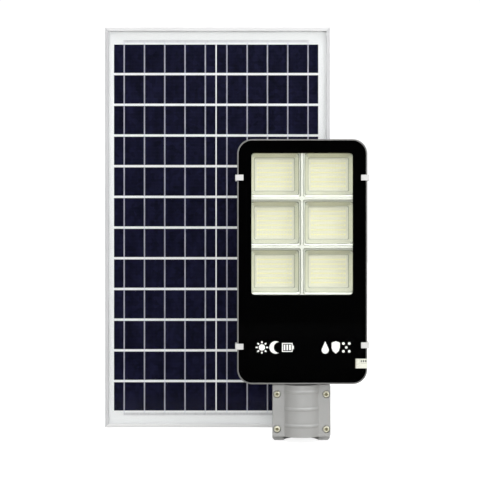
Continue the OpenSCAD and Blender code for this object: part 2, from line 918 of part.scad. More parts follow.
module cap_fillets() {
    for (s = [-1, 1])
        mirror([s < 0 ? 1 : 0, 0, 0]) difference() {
            translate([0.7 * sleeve_out, fillet_top, cap_z0])
                cube([fillet_x - 0.7 * sleeve_out, cap_front + 1 - fillet_top, cap_z1 - cap_z0]);
            translate([fillet_x, fillet_y, 0]) cylinder(r = cap_fillet, h = head_z);
        }
}

// half barrel between two flat blocks, with three ribs over the barrel
module sleeve_cap() {
    h = cap_z1 - cap_z0;
    back = tube_y - split_gap;
    color(grey) at_lamp() difference() {
        union() {
            translate([0, tube_y, cap_z0])
                intersection() {
                    cylinder(r = sleeve_out, h = h);
                    translate([-sleeve_out, -sleeve_out, 0])
                        cube([2 * sleeve_out, sleeve_out - split_gap, h]);
                }
            slab(cap_front, back) round_rect(sleeve_w, cap_z0, cap_z1, 3);
            cap_fillets();
            for (z = rib_z)
                translate([0, tube_y, z]) intersection() {
                    rotate_extrude() translate([sleeve_out + rib_out - rib_r, 0]) circle(r = rib_r);
                    translate([-sleeve_w / 2, -sleeve_w / 2, -2 * rib_r])
                        cube([sleeve_w, sleeve_w / 2 - split_gap - cap_block_t, 4 * rib_r]);
                }
        }
        translate([0, tube_y, -1]) cylinder(r = sleeve_r, h = head_z + 2);
        at_clamp_bolts(cap_front - 1) rod_y(clamp_recess_r, clamp_recess + 1);
        at_clamp_bolts(cap_front) rod_y(m6_r + fit_gap, cap_block_t + 1);
    }
}

// socket screws whose heads stand just proud of their recesses
module cap_bolts() {
    seat = cap_front + clamp_recess;
    color(zinc) at_lamp()
        difference() {
            at_clamp_bolts(seat) {
                translate([0, -clamp_head_h, 0]) rod_y(clamp_head_r, clamp_head_h);
                translate([0, -eps, 0]) rod_y(m6_r, tube_y + clamp_grip - clamp_end_gap - seat);
            }
            at_clamp_bolts(seat - clamp_head_h - 1) rotate([-90, 0, 0]) cylinder(r = 2.9, h = 4, $fn = 6);
        }
}

frame_left();
frame_right();
frame_top();
frame_bottom();
corner_keys();
edge_seal();
panel_glass();
solar_cells();
cell_ribbons();
bus_ribbons();
backsheet();
junction_box();
junction_lid();
junction_terminals();
gland_body();
gland_nut();
ear_left();
ear_right();
ear_bolts();
pivot_bolts();
pivot_nuts();
yoke_arm_left();
yoke_arm_right();
yoke_base();
yoke_bolts();
lamp_housing();
cooling_fins();
glass_gasket();
lamp_glass();
glass_print();
reflector_1();
reflector_2();
reflector_3();
reflector_4();
reflector_5();
reflector_6();
led_board_1();
led_board_2();
led_board_3();
led_board_4();
led_board_5();
led_board_6();
led_chips();
glass_clip_1();
glass_clip_2();
glass_clip_3();
glass_clip_4();
clip_screws();
battery_cells();
battery_holder();
controller_board();
button_bezel();
button_spring();
inlet_socket();
inlet_nut();
breather_valve();
seal_label();
sleeve_cap();
cap_bolts();
power_button();
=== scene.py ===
import json
import math

import bmesh
import bpy
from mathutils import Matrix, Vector


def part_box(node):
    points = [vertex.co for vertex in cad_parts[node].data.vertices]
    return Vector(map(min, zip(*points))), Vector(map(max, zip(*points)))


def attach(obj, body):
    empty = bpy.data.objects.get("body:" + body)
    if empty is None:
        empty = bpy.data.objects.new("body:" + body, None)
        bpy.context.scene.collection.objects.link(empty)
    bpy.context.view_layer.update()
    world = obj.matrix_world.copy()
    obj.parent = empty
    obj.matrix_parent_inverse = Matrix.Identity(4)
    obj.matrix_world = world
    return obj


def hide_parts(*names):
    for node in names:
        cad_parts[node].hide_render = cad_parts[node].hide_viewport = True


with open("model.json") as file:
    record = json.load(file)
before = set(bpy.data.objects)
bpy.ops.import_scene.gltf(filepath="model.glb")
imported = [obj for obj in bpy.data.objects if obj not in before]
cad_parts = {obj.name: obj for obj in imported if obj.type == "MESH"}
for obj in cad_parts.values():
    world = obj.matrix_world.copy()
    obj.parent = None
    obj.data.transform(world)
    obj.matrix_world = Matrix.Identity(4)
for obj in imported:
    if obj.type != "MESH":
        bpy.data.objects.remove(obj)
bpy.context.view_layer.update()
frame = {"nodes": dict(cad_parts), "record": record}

NODES = frame["nodes"]
SLOTS = {s["node"]: s["material_slot"] for s in frame["record"]["subparts"]}
MM = 0.001


# ---------- the frame's own measures, in metres ----------
def span(node):
    lo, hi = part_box(node)
    return Vector(lo), Vector(hi)


PANEL_LO, _ = span("frame_left")
_, PANEL_HI = span("frame_right")
PANEL_X = (PANEL_LO.x + PANEL_HI.x) / 2
PANEL_Y = PANEL_LO.y
HOUSE_LO, HOUSE_HI = span("lamp_housing")
LAMP_X = (HOUSE_LO.x + HOUSE_HI.x) / 2
LAMP_Y = HOUSE_LO.y
MODULES = range(1, 7)


# ---------- material wiring ----------
class Tree:
    """Shorthand for wiring one node tree."""

    def __init__(self, owner):
        owner.use_nodes = True
        self.nt = owner.node_tree
        self.nt.nodes.clear()
        self.coord = None

    def add(self, kind, **values):
        n = self.nt.nodes.new(kind)
        for key, value in values.items():
            setattr(n, key, value)
        return n

    def link(self, a, b):
        self.nt.links.new(a, b)

    def place(self):
        if self.coord is None:
            self.coord = self.add("ShaderNodeTexCoord").outputs["Object"]
        return self.coord

    def axes(self, vector=None):
        n = self.add("ShaderNodeSeparateXYZ")
        self.link(vector or self.place(), n.inputs[0])
        return n.outputs

    def put(self, socket, value):
        if isinstance(value, bpy.types.NodeSocket):
            self.link(value, socket)
        else:
            socket.default_value = value

    def math(self, op, a, b=0.0, c=0.0, clamp=False):
        n = self.add("ShaderNodeMath", operation=op, use_clamp=clamp)
        for socket, value in zip(n.inputs, (a, b, c)):
            self.put(socket, value)
        return n.outputs[0]

    def remap(self, value, low, high, to_low=0.0, to_high=1.0, smooth=False):
        n = self.add("ShaderNodeMapRange", interpolation_type="SMOOTHSTEP" if smooth else "LINEAR")
        for socket, v in zip(n.inputs, (value, low, high, to_low, to_high)):
            self.put(socket, v)
        return n.outputs[0]

    def stretch(self, scale):
        n = self.add("ShaderNodeMapping")
        self.link(self.place(), n.inputs["Vector"])
        n.inputs["Scale"].default_value = scale
        return n.outputs[0]

    def noise(self, scale, detail, rough=0.55, vector=None):
        n = self.add("ShaderNodeTexNoise")
        self.link(vector or self.place(), n.inputs["Vector"])
        n.inputs["Scale"].default_value = scale
        n.inputs["Detail"].default_value = detail
        n.inputs["Roughness"].default_value = rough
        return n.outputs["Fac"]

    def voronoi(self, scale, vector=None, output="Distance"):
        n = self.add("ShaderNodeTexVoronoi")
        self.link(vector or self.place(), n.inputs["Vector"])
        n.inputs["Scale"].default_value = scale
        return n.outputs[output]

    def ramp(self, fac, stops):
        n = self.add("ShaderNodeValToRGB")
        self.put(n.inputs["Fac"], fac)
        while len(n.color_ramp.elements) < len(stops):
            n.color_ramp.elements.new(0.5)
        for e, (pos, col) in zip(n.color_ramp.elements, stops):
            e.position = pos
            e.color = (*col, 1)
        return n.outputs["Color"]

    def mix(self, fac, a, b):
        n = self.add("ShaderNodeMix", data_type="RGBA")
        self.put(n.inputs["Factor"], fac)
        for key, value in (("A", a), ("B", b)):
            socket = [s for s in n.inputs if s.name == key and s.type == "RGBA"][0]
            self.put(socket, (*value, 1) if isinstance(value, tuple) and len(value) == 3 else value)
        return [s for s in n.outputs if s.type == "RGBA"][0]

    def bump(self, height, strength, distance):
        n = self.add("ShaderNodeBump")
        n.inputs["Strength"].default_value = strength
        n.inputs["Distance"].default_value = distance
        self.link(height, n.inputs["Height"])
        return n.outputs["Normal"]

    def principled(self, **values):
        n = self.add("ShaderNodeBsdfPrincipled")
        for key, value in values.items():
            socket = n.inputs[key.replace("_", " ")]
            if isinstance(value, tuple) and len(value) == 3 and socket.type == "RGBA":
                value = (*value, 1)
            self.put(socket, value)
        return n

    def blend(self, fac, first, second):
        """Goes from the first shader to the second as fac goes from 0 to 1."""
        n = self.add("ShaderNodeMixShader")
        for socket, value in zip(n.inputs, (fac, first, second)):
            self.link(value, socket)
        return n.outputs[0]

    def out(self, shader, kind="ShaderNodeOutputMaterial"):
        n = self.add(kind)
        self.link(shader, n.inputs["Surface"])

    def finish(self, shader, height, strength, distance):
        """Gives a principled shader its bump and sends it to the output."""
        self.link(self.bump(height, strength, distance), shader.inputs["Normal"])
        self.out(shader.outputs[0])


def new_material(name):
    m = bpy.data.materials.new(name)
    return m, Tree(m)


def tinted(colour, k):
    return tuple(min(1.0, c * k) for c in colour)


def surface(name, colour, rough, metal, spread=0.06, grain=120.0, fine=1500.0, bump=0.15, specular=0.5):
    """Metal, paint or plastic with slow colour drift, fine grain, uneven gloss and a light bump."""
    m, t = new_material(name)
    slow = t.noise(grain, 4.0, 0.6)
    quick = t.noise(fine, 2.0, 0.5)
    both = t.math("MULTIPLY_ADD", quick, 0.35, t.math("MULTIPLY", slow, 0.65))
    base = t.ramp(both, [(0.3, tinted(colour, 1 - spread)), (0.7, tinted(colour, 1 + spread))])
    gloss = t.math("MULTIPLY_ADD", t.math("SUBTRACT", both, 0.5), 0.2, rough, clamp=True)
    p = t.principled(Base_Color=base, Roughness=gloss, Metallic=metal, Specular_IOR_Level=specular)
    t.finish(p, quick, bump, 0.0002)
    return m


# ---------- materials ----------
def make_frame_metal(name, along, low, high):
    """Satin anodised extrusion: long faint draw lines, cloudy brightness."""
    m, t = new_material(name)
    lines = t.noise(900, 3.0, 0.7, t.stretch((1, 1, 0.02) if along == "z" else (0.02, 1, 1)))
    cloud = t.noise(9, 3.0, 0.5)
    tone = t.math("MULTIPLY_ADD", lines, 0.4, t.math("MULTIPLY", cloud, 0.6))
    base = t.ramp(tone, [(0.3, low), (0.7, high)])
    rough = t.math("MULTIPLY_ADD", lines, 0.12, 0.42)
    p = t.principled(Base_Color=base, Metallic=0.0, Specular_IOR_Level=0.1, Roughness=rough)
    t.finish(p, lines, 0.1, 0.0001)
    return m


FINGER_PITCH = 2.19 * MM
FINGER_SHARE = 0.12
CELL_H = 44.2 * MM
CELL_PITCH = 47.9 * MM
CELLS_TOP = span("solar_cells")[1].z


def make_cells():
    """Dark blue polycrystalline silicon with fine silver fingers."""
    m, t = new_material("silicon")
    flat = t.stretch((1, 0.01, 1))
    tone = t.add("ShaderNodeSeparateColor")
    t.link(t.voronoi(160, flat, output="Color"), tone.inputs[0])
    cloud = t.noise(60, 3.0, 0.6, t.stretch((1, 0.01, 0.2)))
    mix = t.math("MULTIPLY_ADD", tone.outputs[0], 0.25, t.math("MULTIPLY", cloud, 0.75))
    base = t.ramp(mix, [(0.3, (0.0012, 0.0014, 0.0085)), (0.5, (0.0034, 0.0036, 0.0165)),
                        (0.7, (0.0072, 0.0073, 0.027))])
    wave = t.math("FRACT", t.math("MULTIPLY", t.axes()[2], 1 / FINGER_PITCH))
    finger = t.math("LESS_THAN", wave, FINGER_SHARE)
    base = t.mix(t.math("MULTIPLY", finger, 0.13), base, (0.10, 0.10, 0.14))
    rough = t.math("MULTIPLY_ADD", tone.outputs[1], 0.12, 0.42)
    p = t.principled(Base_Color=base, Metallic=0.0, Specular_IOR_Level=0.04, Roughness=rough)
    t.finish(p, t.noise(2600, 2.0), 0.05, 0.0001)
    return m


def make_ribbon(name, low, high, between=None):
    """Tinned copper ribbon with a rippled face; over the pale gaps between cells it may take another tone."""
    m, t = new_material(name)
    ripple = t.noise(240, 3.0, 0.6, t.stretch((3, 1, 0.3)))
    base = t.ramp(ripple, [(0.3, low), (0.7, high)])
    if between:
        row = t.math("FRACT", t.math("DIVIDE", t.math("SUBTRACT", CELLS_TOP, t.axes()[2]), CELL_PITCH))
        base = t.mix(t.math("GREATER_THAN", row, CELL_H / CELL_PITCH), base, between)
    p = t.principled(Base_Color=base, Metallic=0.25,
                     Roughness=t.math("MULTIPLY_ADD", ripple, 0.2, 0.4))
    t.finish(p, ripple, 0.2, 0.0002)
    return m


def make_glass(name, tint, head_on=0.013):
    """Clear pane: lets sight and lamps through, mirrors more at a slant, with faint smears in its gloss."""
    m, t = new_material(name)
    see = t.add("ShaderNodeBsdfTransparent")
    see.inputs["Color"].default_value = (*tint, 1)
    gloss = t.add("ShaderNodeBsdfGlossy")
    smear = t.noise(14, 3.0, 0.6)
    t.link(t.remap(smear, 0.35, 0.7, 0.015, 0.06), gloss.inputs["Roughness"])
    facing = t.add("ShaderNodeLayerWeight")
    facing.inputs["Blend"].default_value = 0.5
    steep = t.math("POWER", facing.outputs["Facing"], 5.0)
    share = t.math("MULTIPLY_ADD", steep, 1 - head_on, head_on, clamp=True)
    t.out(t.blend(share, see.outputs[0], gloss.outputs[0]))
    return m


def make_zinc_coat():
    """Hot-dip galvanised sheet: crystal spangle, each grain with its own tone and gloss."""
    m, t = new_material("galvanised_steel")
    wobble = t.noise(60, 2.0)
    warp = t.add("ShaderNodeVectorMath", operation="MULTIPLY_ADD")
    t.link(t.mix(wobble, (0.0, 0.0, 0.0), (1.0, 1.0, 1.0)), warp.inputs[0])
    warp.inputs[1].default_value = (0.006, 0.006, 0.006)
    t.link(t.place(), warp.inputs[2])
    grains = t.add("ShaderNodeSeparateColor")
    t.link(t.voronoi(120, warp.outputs[0], output="Color"), grains.inputs[0])
    tone = t.math("MULTIPLY_ADD", grains.outputs[0], 0.5, t.math("MULTIPLY", t.noise(700, 3.0), 0.5))
    base = t.ramp(tone, [(0.2, (0.42, 0.43, 0.44)), (0.5, (0.52, 0.53, 0.54)), (0.8, (0.63, 0.64, 0.65))])
    rough = t.math("MULTIPLY_ADD", grains.outputs[1], 0.22, 0.3)
    p = t.principled(Base_Color=base, Metallic=0.85, Roughness=rough)
    t.finish(p, tone, 0.1, 0.0002)
    return m


# how far behind the lamp's front the painted shade on the rim begins to fade, and where it ends
RIM_SHADE_START = 1.5 * MM
RIM_SHADE_END = 3.5 * MM


def make_cast_paint():
    """Light grey powder coat on a die casting: orange peel, pinhead specks, soft clouding, and painted shade
    darkening the front rim.
    """
    m, t = new_material("cast_grey")
    peel = t.noise(1100, 2.0, 0.5)
    cloud = t.noise(35, 3.0, 0.55)
    speck = t.remap(t.voronoi(900), 0.05, 0.12, 1.0, 0.0)
    tone = t.math("MULTIPLY_ADD", peel, 0.4, t.math("MULTIPLY", cloud, 0.6))
    base = t.ramp(tone, [(0.3, (0.360, 0.362, 0.358)), (0.7, (0.396, 0.398, 0.394))])
    base = t.mix(t.math("MULTIPLY", speck, 0.25), base, (0.30, 0.30, 0.29))
    # painted shade: the front few mm of the lamp's rim are mixed toward dark grey, standing in for the shade
    # on its rounded edge
    rim_shade = t.remap(t.axes()[1], LAMP_Y + RIM_SHADE_START, LAMP_Y + RIM_SHADE_END, 0.8, 0.0)
    base = t.mix(rim_shade, base, (0.16, 0.16, 0.155))
    rough = t.math("MULTIPLY_ADD", cloud, 0.14, 0.33)
    p = t.principled(Base_Color=base, Metallic=0.1, Roughness=rough, Specular_IOR_Level=0.5,
                     Coat_Weight=0.35, Coat_Roughness=0.14)
    t.finish(p, peel, 0.3, 0.0003)
    return m


def make_reflector(name, low, high):
    """Bright vacuum-coated plastic with a slight orange peel, with painted light on faces turned up and
    painted shade on faces turned down.
    """
    m, t = new_material(name)
    cloud = t.noise(45, 3.0, 0.5)
    peel = t.noise(300, 2.0, 0.5)
    light_and_shade_normal = t.add("ShaderNodeSeparateXYZ")
    t.link(t.add("ShaderNodeNewGeometry").outputs["Normal"], light_and_shade_normal.inputs[0])
    base = t.ramp(cloud, [(0.3, low), (0.7, high)])
    # painted highlight: faces turned up are mixed toward pale
    base = t.mix(t.remap(light_and_shade_normal.outputs[2], 0.3, 0.9, 0.0, 0.35), base, (0.94, 0.94, 0.92))
    # painted shade: faces turned down are mixed toward dark brownish grey
    base = t.mix(t.remap(light_and_shade_normal.outputs[2], -0.3, -0.9, 0.0, 0.5), base, (0.42, 0.41, 0.31))
    p = t.principled(Base_Color=base, Metallic=0.55, Roughness=t.math("MULTIPLY_ADD", peel, 0.12, 0.30),
                     Specular_IOR_Level=0.5)
    t.finish(p, peel, 0.05, 0.0004)
    return m


DASH_WAVES = 1900.0
MARKS_FROM = 0.46


def make_seal_paper():
    """Blank tamper seal: pale paper, a dotted security screen at one end and a row of plain dashes."""
    lo, hi = span("seal_label")
    m, t = new_material("seal_paper")
    x, _, z = t.axes()
    across = t.remap(x, lo.x, hi.x)
    up = t.remap(z, lo.z, hi.z)
    dots = t.remap(t.voronoi(750, t.stretch((1, 0.01, 1))), 0.25, 0.4, 1.0, 0.0)
    screen = t.math("MAXIMUM", t.math("MULTIPLY", dots, t.remap(across, MARKS_FROM, 0.40, 0.0, 0.5)),
                    t.remap(across, 0.10, 0.04, 0.0, 0.8))
    dash = t.math("GREATER_THAN", t.math("SINE", t.math("MULTIPLY", x, DASH_WAVES)), -0.35)
    row = t.math("COMPARE", up, 0.75, 0.11)
    line = t.math("COMPARE", up, 0.52, 0.03)
    printed = t.math("MAXIMUM", t.math("MULTIPLY", dash, row), t.math("MULTIPLY", line, 0.35))
    marks = t.math("MULTIPLY", printed, t.math("GREATER_THAN", across, MARKS_FROM))
    paper = t.ramp(t.noise(260, 4.0), [(0.3, (0.66, 0.67, 0.585)), (0.7, (0.76, 0.77, 0.685))])
    base = t.mix(screen, paper, (0.22, 0.20, 0.15))
    base = t.mix(t.math("MULTIPLY", marks, 0.92), base, (0.04, 0.04, 0.045))
    p = t.principled(Base_Color=base, Roughness=0.55)
    t.finish(p, t.noise(1800, 2.0), 0.2, 0.0001)
    return m


LANE_WAVES = 1460.0


def make_board():
    """White solder mask with faint copper lanes under the chips."""
    m, t = new_material("white_board")
    lane = t.math("SINE", t.math("MULTIPLY", t.axes()[0], LANE_WAVES))
    tone = t.noise(90, 3.0)
    base = t.ramp(tone, [(0.3, (0.75, 0.74, 0.60)), (0.7, (0.80, 0.79, 0.66))])
    base = t.mix(t.math("MULTIPLY", t.remap(lane, 0.6, 0.9), 0.3), base, (0.62, 0.63, 0.52))
    p = t.principled(Base_Color=base, Roughness=0.4)
    t.finish(p, tone, 0.08, 0.0002)
    return m


# the two numbers after a surface's colour are its roughness and its metalness
MATS = {
    "anodised_frame": make_frame_metal("anodised_upright", "z", (0.52, 0.525, 0.54), (0.58, 0.585, 0.60)),
    "silicon": make_cells(),
    "ribbon_metal": make_ribbon("ribbon_metal", (0.27, 0.27, 0.33), (0.44, 0.44, 0.50), (0.72, 0.72, 0.77)),
    "panel_glass": make_glass("panel_glass", (0.99, 0.995, 0.995), head_on=0.008),
    "lamp_glass": make_glass("lamp_glass", (0.99, 0.995, 0.985)),
    "key_metal": surface("key_metal", (0.6, 0.61, 0.62), 0.45, 1.0),
    "sealant": surface("sealant", (0.62, 0.62, 0.64), 0.55, 0.0, grain=60),
    "white_film": surface("white_film", (0.825, 0.828, 0.833), 0.5, 0.0, spread=0.015, grain=30, fine=900,
                          bump=0.06),
    "black_plastic": surface("black_plastic", (0.022, 0.022, 0.024), 0.42, 0.0, spread=0.2, bump=0.35),
    "contact_brass": surface("contact_brass", (0.75, 0.56, 0.26), 0.3, 1.0),
    "galvanised_steel": make_zinc_coat(),
    "zinc_bolts": surface("zinc_bolts", (0.80, 0.78, 0.63), 0.33, 0.45, spread=0.14, grain=260, fine=2600,
                          bump=0.2),
    "cast_grey": make_cast_paint(),
    "silicone_black": surface("silicone_black", (0.02, 0.02, 0.02), 0.6, 0.0, spread=0.2),
    "black_print": surface("black_print", (0.0006, 0.0006, 0.0007), 0.5, 0.0, spread=0.3, bump=0.02,
                           specular=0.0),
    "reflector_plate": make_reflector("reflector_plate", (0.85, 0.87, 0.79), (0.90, 0.915, 0.85)),
    "white_board": make_board(),
    "phosphor": surface("phosphor", (0.90, 0.86, 0.43), 0.45, 0.0, spread=0.05, grain=500),
    "clip_white": surface("clip_white", (0.60, 0.60, 0.595), 0.35, 0.0, spread=0.03, grain=400),
    "battery_wrap": surface("battery_wrap", (0.02, 0.12, 0.42), 0.3, 0.0, spread=0.08),
    "green_board": surface("green_board", (0.01, 0.09, 0.03), 0.3, 0.0, spread=0.12),
    "spring_steel": surface("spring_steel", (0.62, 0.62, 0.63), 0.25, 1.0),
    "seal_paper": make_seal_paper(),
    "button_red": surface("button_red", (0.35, 0.02, 0.02), 0.35, 0.0, spread=0.1),
}
# top and bottom rails take their own copies of the anodised metal: painted shade on the top rail, toned down
# against the strong light from above, and painted light on the bottom rail, toned up where less light falls
TOP_PAINTED_SHADE_METAL = make_frame_metal("anodised_top_painted_shade", "x", (0.58, 0.585, 0.59), (0.64, 0.645, 0.65))
BOTTOM_PAINTED_LIGHT_METAL = make_frame_metal("anodised_bottom_painted_light", "x", (0.72, 0.725, 0.73), (0.78, 0.785, 0.79))
REFLECTOR_LEDGE = surface("reflector_ledge", (0.80, 0.81, 0.76), 0.3, 0.0, spread=0.03, grain=45, bump=0.1)
# steep step walls in the trays: a dark copy of the reflector finish, painted shade and painted dark
# reflection in the grooves
REFLECTOR_STEP_PAINTED_SHADE = make_reflector("reflector_step_painted_shade", (0.18, 0.19, 0.14), (0.25, 0.265, 0.20))
BUS_METAL = make_ribbon("bus_metal", (0.55, 0.55, 0.57), (0.72, 0.72, 0.74))
PACKAGE_WHITE = surface("package_white", (0.86, 0.85, 0.76), 0.35, 0.0, spread=0.02, grain=400)
# dark lining for the bolt sockets: painted shade deepening the hexagon recesses
SOCKET_SHADE = surface("socket_shade", (0.26, 0.24, 0.13), 0.45, 0.4, spread=0.2, grain=400)
INK_WHITE = surface("ink_white", (0.92, 0.92, 0.91), 0.45, 0.0, spread=0.03, grain=700, fine=2500)
SPECIAL = {"frame_top": TOP_PAINTED_SHADE_METAL, "frame_bottom": BOTTOM_PAINTED_LIGHT_METAL, "bus_ribbons": BUS_METAL}

for node, obj in NODES.items():
    finish = SPECIAL.get(node, MATS[SLOTS[node]])
    if not obj.material_slots:
        obj.data.materials.append(finish)
    for held in obj.material_slots:
        held.material = finish


# ---------- rounded edges on the CAD's own pieces ----------
WELD_DISTANCE = 2e-6
# an edge is rounded from this turn on, in degrees
EDGE_TURN = 35


def bevel(obj, width, degrees):
    """Rounds the edges of obj that turn by more than the given degrees; width is in mm."""
    edge = obj.modifiers.new("edge", "BEVEL")
    edge.width = width * MM
    edge.segments = 2
    edge.limit_method = "ANGLE"
    edge.angle_limit = math.radians(degrees)


def soften(node, width):
    """Joins the imported faces, rounds sharp edges and evens the shading, all without touching the mesh."""
    obj = NODES[node]
    weld = obj.modifiers.new("weld", "WELD")
    weld.merge_threshold = WELD_DISTANCE
    flat = obj.modifiers.new("flat", "DECIMATE")
    flat.decimate_type = "DISSOLVE"
    flat.angle_limit = math.radians(0.5)
    bevel(obj, width, EDGE_TURN)
    even = obj.modifiers.new("even", "WEIGHTED_NORMAL")
    even.keep_sharp = False
    even.weight = 80


# edge rounding of each node in mm
EDGE_WIDTHS = {
    "frame_left": 0.3, "frame_right": 0.3, "frame_top": 0.3, "frame_bottom": 0.3,
    "junction_box": 0.8, "junction_lid": 0.8, "gland_body": 0.4, "gland_nut": 0.6,
    "ear_left": 0.5, "ear_right": 0.5, "yoke_arm_left": 0.5, "yoke_arm_right": 0.5, "yoke_base": 0.5,
    "ear_bolts": 0.4, "pivot_bolts": 0.5, "pivot_nuts": 0.5, "yoke_bolts": 0.4,
    "lamp_housing": 0.7, "cooling_fins": 0.5, "sleeve_cap": 0.9, "cap_bolts": 0.5,
    "glass_clip_1": 0.35, "glass_clip_2": 0.35, "glass_clip_3": 0.35, "glass_clip_4": 0.35,
    "clip_screws": 0.2, "button_bezel": 0.6, "power_button": 0.8, "inlet_socket": 0.5,
    "breather_valve": 0.5,
}
for node, width in EDGE_WIDTHS.items():
    soften(node, width)


# ---------- mesh helpers ----------
def add_piece(name, bm, slot, body, stands_for=(), finish=None, smooth_angle=35):
    """Makes one riding piece from a bmesh, shaded smooth below smooth_angle."""
    bmesh.ops.recalc_face_normals(bm, faces=bm.faces)
    mesh = bpy.data.meshes.new(name)
    for face in bm.faces:
        face.smooth = True
    for edge in bm.edges:
        if len(edge.link_faces) == 2:
            edge.smooth = edge.calc_face_angle(0) < math.radians(smooth_angle)
    bm.to_mesh(mesh)
    bm.free()
    for held in finish or [MATS[slot]]:
        mesh.materials.append(held)
    obj = bpy.data.objects.new(name, mesh)
    bpy.context.collection.objects.link(obj)
    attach(obj, body)
    if stands_for:
        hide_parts(*stands_for)
    return obj


def round_ring(centre, half_w, half_h, radius, y, steps=6):
    """Points of a rounded rectangle facing -Y, centred on x and z of centre, at depth y."""
    points = []
    for sx, sz, start in ((1, 1, 0), (-1, 1, 90), (-1, -1, 180), (1, -1, 270)):
        for i in range(steps + 1):
            a = math.radians(start + 90 * i / steps)
            points.append(Vector((
                centre.x + sx * (half_w - radius) + radius * math.cos(a), y,
                centre.z + sz * (half_h - radius) + radius * math.sin(a))))
    return points


def loft(bm, rings, loop=False):
    """Skins a run of rings with quads; loop joins the last ring to the first."""
    rows = [[bm.verts.new(p) for p in ring] for ring in rings]
    pairs = list(zip(rows, rows[1:])) + ([(rows[-1], rows[0])] if loop else [])
    for a, b in pairs:
        n = len(a)
        for i in range(n):
            bm.faces.new((a[i], a[(i + 1) % n], b[(i + 1) % n], b[i]))
    return rows


def turned(bm, profile, place, axis, count):
    """Revolves (radius, height) pairs about axis through place; zero radii close to a point."""
    turn = Vector((0, 0, 1)).rotation_difference(Vector(axis)).to_matrix()
    rows = []
    for r, h in profile:
        if r < 1e-9:
            rows.append([bm.verts.new(place + turn @ Vector((0, 0, h)))])
        else:
            rows.append([bm.verts.new(place + turn @ Vector((
                r * math.cos(2 * math.pi * i / count), r * math.sin(2 * math.pi * i / count), h)))
                for i in range(count)])
    for a, b in zip(rows, rows[1:]):
        for i in range(count):
            j = (i + 1) % count
            corners = [a[i % len(a)], a[j % len(a)], b[j % len(b)], b[i % len(b)]]
            corners = [v for k, v in enumerate(corners) if v not in corners[:k]]
            if len(corners) > 2:
                bm.faces.new(corners)


THREAD_SIDES = 20
THREAD_FOOT = 0.35


def thread(bm, place, axis, radius, length, pitch, height):
    """A helical ridge of triangular section round a stud."""
    turn = Vector((0, 0, 1)).rotation_difference(Vector(axis)).to_matrix()
    steps = int(length / pitch * THREAD_SIDES)
    foot = THREAD_FOOT * pitch
    section = ((radius, -foot), (radius + height, 0), (radius, foot))
    previous = None
    for k in range(steps + 1):
        a = 2 * math.pi * k / THREAD_SIDES
        rise = foot + (length - 2 * foot) * k / steps
        ring = [bm.verts.new(place + turn @ Vector((r * math.cos(a), r * math.sin(a), rise + h)))
                for r, h in section]
        if previous:
            for i in range(3):
                j = (i + 1) % 3
                bm.faces.new((previous[i], previous[j], ring[j], ring[i]))
        else:
            bm.faces.new(ring)
        previous = ring
    bm.faces.new(previous)


def slab_of(bm, outline, y0, y1):
    """Thickens a flat outline of (x, z) points from depth y0 to y1."""
    front = [bm.verts.new((x, y0, z)) for x, z in outline]
    back = [bm.verts.new((x, y1, z)) for x, z in outline]
    bm.faces.new(front)
    bm.faces.new(back[::-1])
    n = len(outline)
    for i in range(n):
        j = (i + 1) % n
        bm.faces.new((front[i], back[i], back[j], front[j]))


# ---------- light modules ----------
# each ring: its share of the way from the tray's outer edge to the floor opening, and its depth in mm
TRAY_STEPS = ((0.0, 0.0), (0.14, 0.0), (0.19, 1.8), (0.37, 2.2), (0.43, 5.0),
              (0.83, 14.5), (0.87, 17.0), (0.94, 17.5), (1.0, 20.2))
# finish of each band between two rings: 0 bright, 1 ledge, 2 step wall painted dark as shade; the bands after
# these are bright
TRAY_FINISH = (1, 2, 0, 2, 0, 2, 1)
TRAY_BACK = ((0.93, 20.2), (0.76, 15.6), (0.34, 6.0), (0.10, 3.2), (0.0, 1.6))
TRAY_GROW = 0.2 * MM
TRAY_EDGE = 0.28
TRAY_TURN = 18
FLOOR_HALF_W = 27.6 * MM
FLOOR_HALF_H = 22.4 * MM
TRAY_CORNER = 3.4 * MM


def make_tray(n):
    """Lofts one stepped reflector tray in the place of the plain one."""
    lo, hi = span(f"reflector_{n}")
    centre = (lo + hi) / 2
    half_w, half_h = (hi.x - lo.x) / 2 + TRAY_GROW, (hi.z - lo.z) / 2 + TRAY_GROW
    rings = []
    for share, depth in TRAY_STEPS + TRAY_BACK:
        corner = 0.4 * MM if share == 0 else TRAY_CORNER * (1 - 0.3 * share)
        rings.append(round_ring(centre, half_w + share * (FLOOR_HALF_W - half_w),
                                half_h + share * (FLOOR_HALF_H - half_h), corner, lo.y + depth * MM))
    bm = bmesh.new()
    loft(bm, rings, loop=True)
    for face, band in zip(bm.faces, [b for b in TRAY_FINISH for _ in rings[0]]):
        face.material_index = band
    tray = add_piece(f"tray_{n}", bm, "reflector_plate", "lamp", [f"reflector_{n}"],
                     [MATS["reflector_plate"], REFLECTOR_LEDGE, REFLECTOR_STEP_PAINTED_SHADE], smooth_angle=60)
    bevel(tray, TRAY_EDGE, TRAY_TURN)


PIN_SHARE = 0.50
PIN_R = 1.3 * MM
PIN_INSET = 1.2 * MM
PIN_DEPTH = 7.6 * MM
PIN_DOME = ((1.0, -2.0), (1.0, 0.6), (0.8, 1.1), (0.45, 1.35), (0, 1.45))


